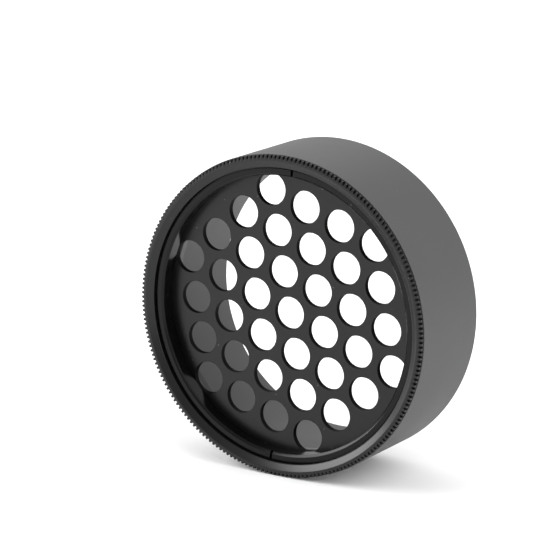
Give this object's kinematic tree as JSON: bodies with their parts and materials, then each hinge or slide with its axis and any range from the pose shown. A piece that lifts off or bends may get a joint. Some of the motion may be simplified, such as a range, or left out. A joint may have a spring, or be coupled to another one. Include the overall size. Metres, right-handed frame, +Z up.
{
  "type": "snoot",
  "caption": "Short cylindrical snoot end with a knurled front ring that holds a perforated grid disc, and a threaded spigot behind",
  "frame": {"origin": "on the bore axis, in the plane of the shoulder that seats against the light", "axes": "+Z up with the snoot lying on its side, the bore along Y, the perforated front facing -Y and the threaded spigot pointing +Y"},
  "size_m": [0.0688, 0.027, 0.0686],
  "materials": {
    "anodised_body": "bead-blasted, matte black anodised",
    "anodised_ring": "turned, satin black anodised",
    "anodised_disc": "matte black anodised sheet",
    "anodised_retainer": "turned, satin black anodised"
  },
  "bodies": {
    "sleeve": {"sleeve": "anodised_body"},
    "grid": {"grid_disc": "anodised_disc"},
    "ring": {"front_ring": "anodised_ring"},
    "retainer": {"retaining_ring": "anodised_retainer"}
  },
  "joints": [
    {"name": "ring_advance", "type": "slide", "parent": "sleeve", "child": "grid", "axis": [0, -1, 0], "range_m": [0, 0.003]},
    {"name": "ring_turn", "type": "hinge", "parent": "grid", "child": "ring", "pos_m": [0, -0.01785, 0], "axis": [0, -1, 0], "range_deg": [0, 1440]},
    {"name": "retainer_backs_out", "type": "slide", "parent": "ring", "child": "retainer", "axis": [0, -1, 0], "range_m": [0, 0.00375]}
  ],
  "couplings": [
    {"joint": "ring_advance", "follows": "ring_turn", "m_per_rad": 0.00011937}
  ]
}
